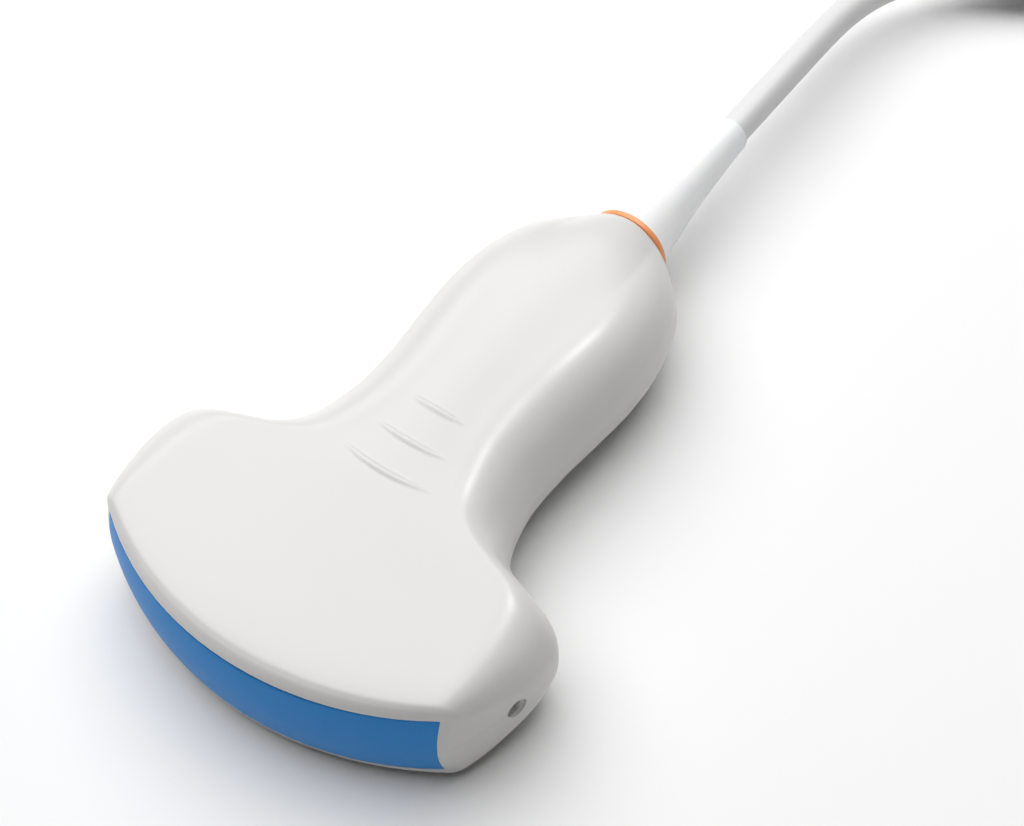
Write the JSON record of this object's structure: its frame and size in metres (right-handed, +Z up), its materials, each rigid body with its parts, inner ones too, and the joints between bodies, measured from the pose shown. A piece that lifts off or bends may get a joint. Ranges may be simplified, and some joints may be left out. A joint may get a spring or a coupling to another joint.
{
  "type": "ultrasound probe",
  "caption": "Convex ultrasound probe lying flat: fan-shaped head with a curved lens, oval handle, strain relief, coiled cable and a boxy connector with a quarter-turn lock.",
  "frame": {"origin": "bottom centre of the probe (without the cable, coil and connector), on the surface that it lies on", "axes": "+Y from the lens to the cable, along the probe's length; +X across the head; +Z up"},
  "size_m": [0.0998, 0.4017, 0.044],
  "materials": {
    "housing_white": "satin moulded off-white plastic with a fine texture",
    "lens_blue": "smooth satin silicone rubber, blue",
    "matching_layer": "filled epoxy sheet",
    "ceramic": "fired piezo ceramic",
    "backing": "tungsten-loaded damping compound",
    "aluminium": "machined, fine brushed",
    "steel": "stainless, turned and milled",
    "brass": "turned",
    "gold_contact": "gold-plated",
    "shield_foil": "thin copper alloy sheet",
    "flex_circuit": "amber polyimide",
    "board_green": "green solder mask",
    "coax_wires": "bundle of fine jacketed wires",
    "black_plastic": "glass-filled black plastic",
    "seal_rubber": "soft black rubber",
    "ring_orange": "satin orange plastic",
    "strain_relief_white": "glossy white moulded elastomer",
    "cable_grey": "satin pale grey jacket",
    "strap_grey": "woven hook-and-loop strap",
    "connector_shell": "fine textured pale grey plastic",
    "contact_block": "moulded insulator",
    "lock_lever": "dark grey satin plastic",
    "connector_boot": "soft grey elastomer"
  },
  "bodies": {
    "root": {"housing_top": "housing_white", "housing_bottom": "housing_white", "acoustic_lens": "lens_blue", "matching_layer_outer": "matching_layer", "matching_layer_inner": "matching_layer", "piezo_array": "ceramic", "backing_block": "backing", "array_frame": "aluminium", "chassis": "aluminium", "connector_plate": "aluminium", "chassis_screw_left": "steel", "chassis_screw_right": "steel", "clamp_screw_left": "steel", "clamp_screw_right": "steel", "shell_screw_1": "steel", "shell_screw_2": "steel", "shell_screw_3": "steel", "shell_screw_4": "steel", "lock_bushing": "brass", "contact_strip_1": "gold_contact", "contact_strip_2": "gold_contact", "contact_strip_3": "gold_contact", "contact_strip_4": "gold_contact", "shield_upper": "shield_foil", "shield_lower": "shield_foil", "flex_circuit_upper": "flex_circuit", "flex_circuit_lower": "flex_circuit", "interface_board_upper": "board_green", "interface_board_lower": "board_green", "termination_board_1": "board_green", "termination_board_2": "board_green", "coax_bundle": "coax_wires", "board_connector_upper": "black_plastic", "board_connector_lower": "black_plastic", "cable_clamp_upper": "black_plastic", "cable_clamp_lower": "black_plastic", "tail_seal": "seal_rubber", "identification_ring": "ring_orange", "strain_relief": "strain_relief_white", "cable_jacket_end": "cable_grey", "cable_probe_side": "cable_grey", "cable_coil": "cable_grey", "cable_connector_side": "cable_grey", "connector_jacket_end": "cable_grey", "cable_tie": "strap_grey", "connector_shell_front": "connector_shell", "connector_shell_back": "connector_shell", "contact_block": "contact_block", "connector_boot": "connector_boot"},
    "lock": {"lock_shaft": "steel", "lock_bar": "steel", "lock_lever": "lock_lever", "lever_screw": "steel", "retaining_ring": "steel"}
  },
  "joints": [
    {"name": "lock_turn", "type": "hinge", "parent": "root", "child": "lock", "pos_m": [0.02725, 0.291, 0.022], "axis": [1, 0, 0], "range_deg": [0, 90]}
  ]
}
